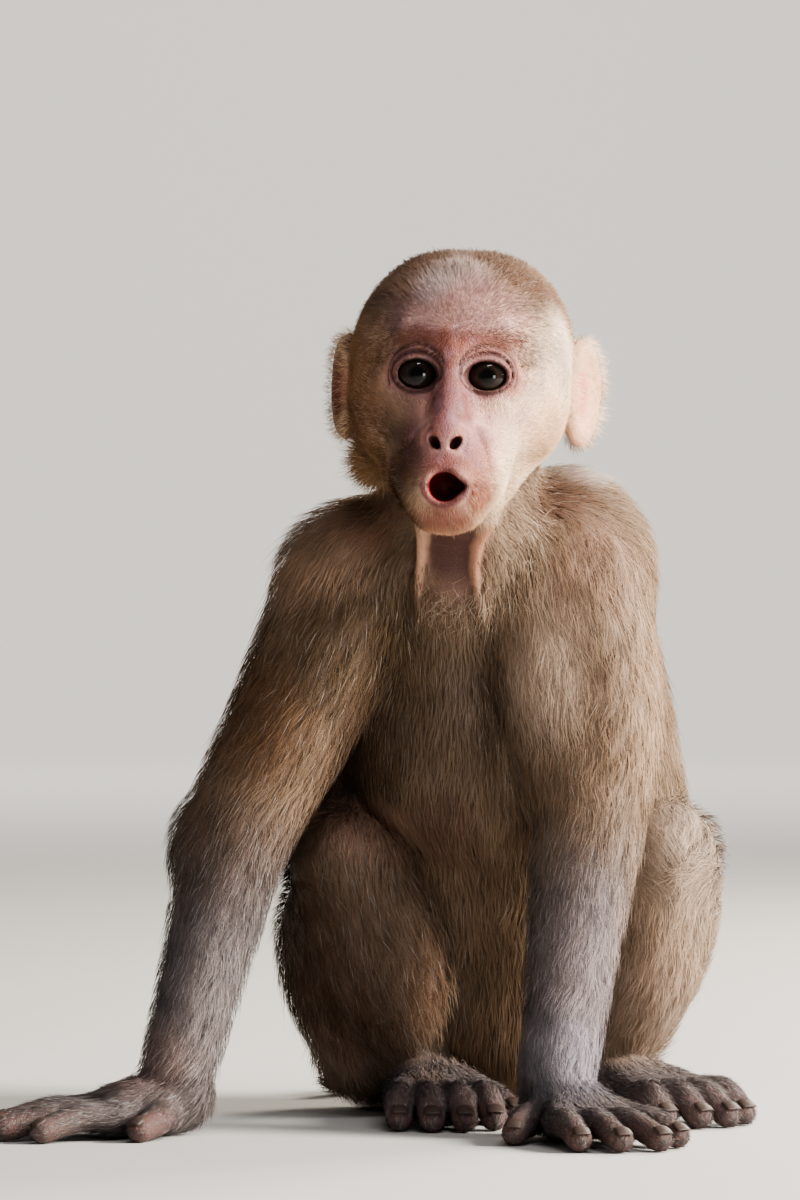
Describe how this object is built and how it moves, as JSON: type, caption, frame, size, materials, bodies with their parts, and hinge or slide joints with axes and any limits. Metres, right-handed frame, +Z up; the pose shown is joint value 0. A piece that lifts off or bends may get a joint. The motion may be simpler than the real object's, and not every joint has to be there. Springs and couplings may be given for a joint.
{
  "type": "young rhesus macaque model",
  "caption": "Life-size still model of a young macaque sitting on its rump and leaning forward on both hands, lips pushed out in an O.",
  "frame": {"origin": "on the floor, under the middle of the rump it sits on", "axes": "+Z up; -Y towards the animal's front, where both hands lean; +X towards its left side"},
  "size_m": [0.2391, 0.2486, 0.2735],
  "materials": {
    "coat_head": "short pale fur and bare pink skin, matt",
    "coat_neck": "golden-brown fur, matt",
    "coat_trunk": "golden-brown fur, matt",
    "coat_tail": "short brown fur, matt",
    "ear_right": "thin pink skin with fine hair, satin",
    "coat_upper_arm_right": "golden-brown fur, matt",
    "coat_forearm_right": "grey-brown fur, matt",
    "hand_right": "brown-pink skin under short grey hair, matt",
    "coat_thigh_right": "brown fur, matt",
    "coat_shin_right": "brown fur, matt",
    "foot_right": "brown-pink skin under short grey hair, matt",
    "eye_right": "wet and glossy, near black",
    "ear_left": "thin pink skin with fine hair, satin",
    "coat_upper_arm_left": "golden-brown fur, matt",
    "coat_forearm_left": "grey-brown fur, matt",
    "hand_left": "brown-pink skin under short grey hair, matt",
    "coat_thigh_left": "brown fur, matt",
    "coat_shin_left": "brown fur, matt",
    "foot_left": "brown-pink skin under short grey hair, matt",
    "eye_left": "wet and glossy, near black"
  },
  "bodies": {
    "root": {"head": "coat_head", "neck": "coat_neck", "trunk": "coat_trunk", "tail": "coat_tail", "ear_right": "ear_right", "upper_arm_right": "coat_upper_arm_right", "forearm_right": "coat_forearm_right", "hand_right": "hand_right", "thigh_right": "coat_thigh_right", "shin_right": "coat_shin_right", "foot_right": "foot_right", "eye_right": "eye_right", "ear_left": "ear_left", "upper_arm_left": "coat_upper_arm_left", "forearm_left": "coat_forearm_left", "hand_left": "hand_left", "thigh_left": "coat_thigh_left", "shin_left": "coat_shin_left", "foot_left": "foot_left", "eye_left": "eye_left"}
  },
  "joints": []
}
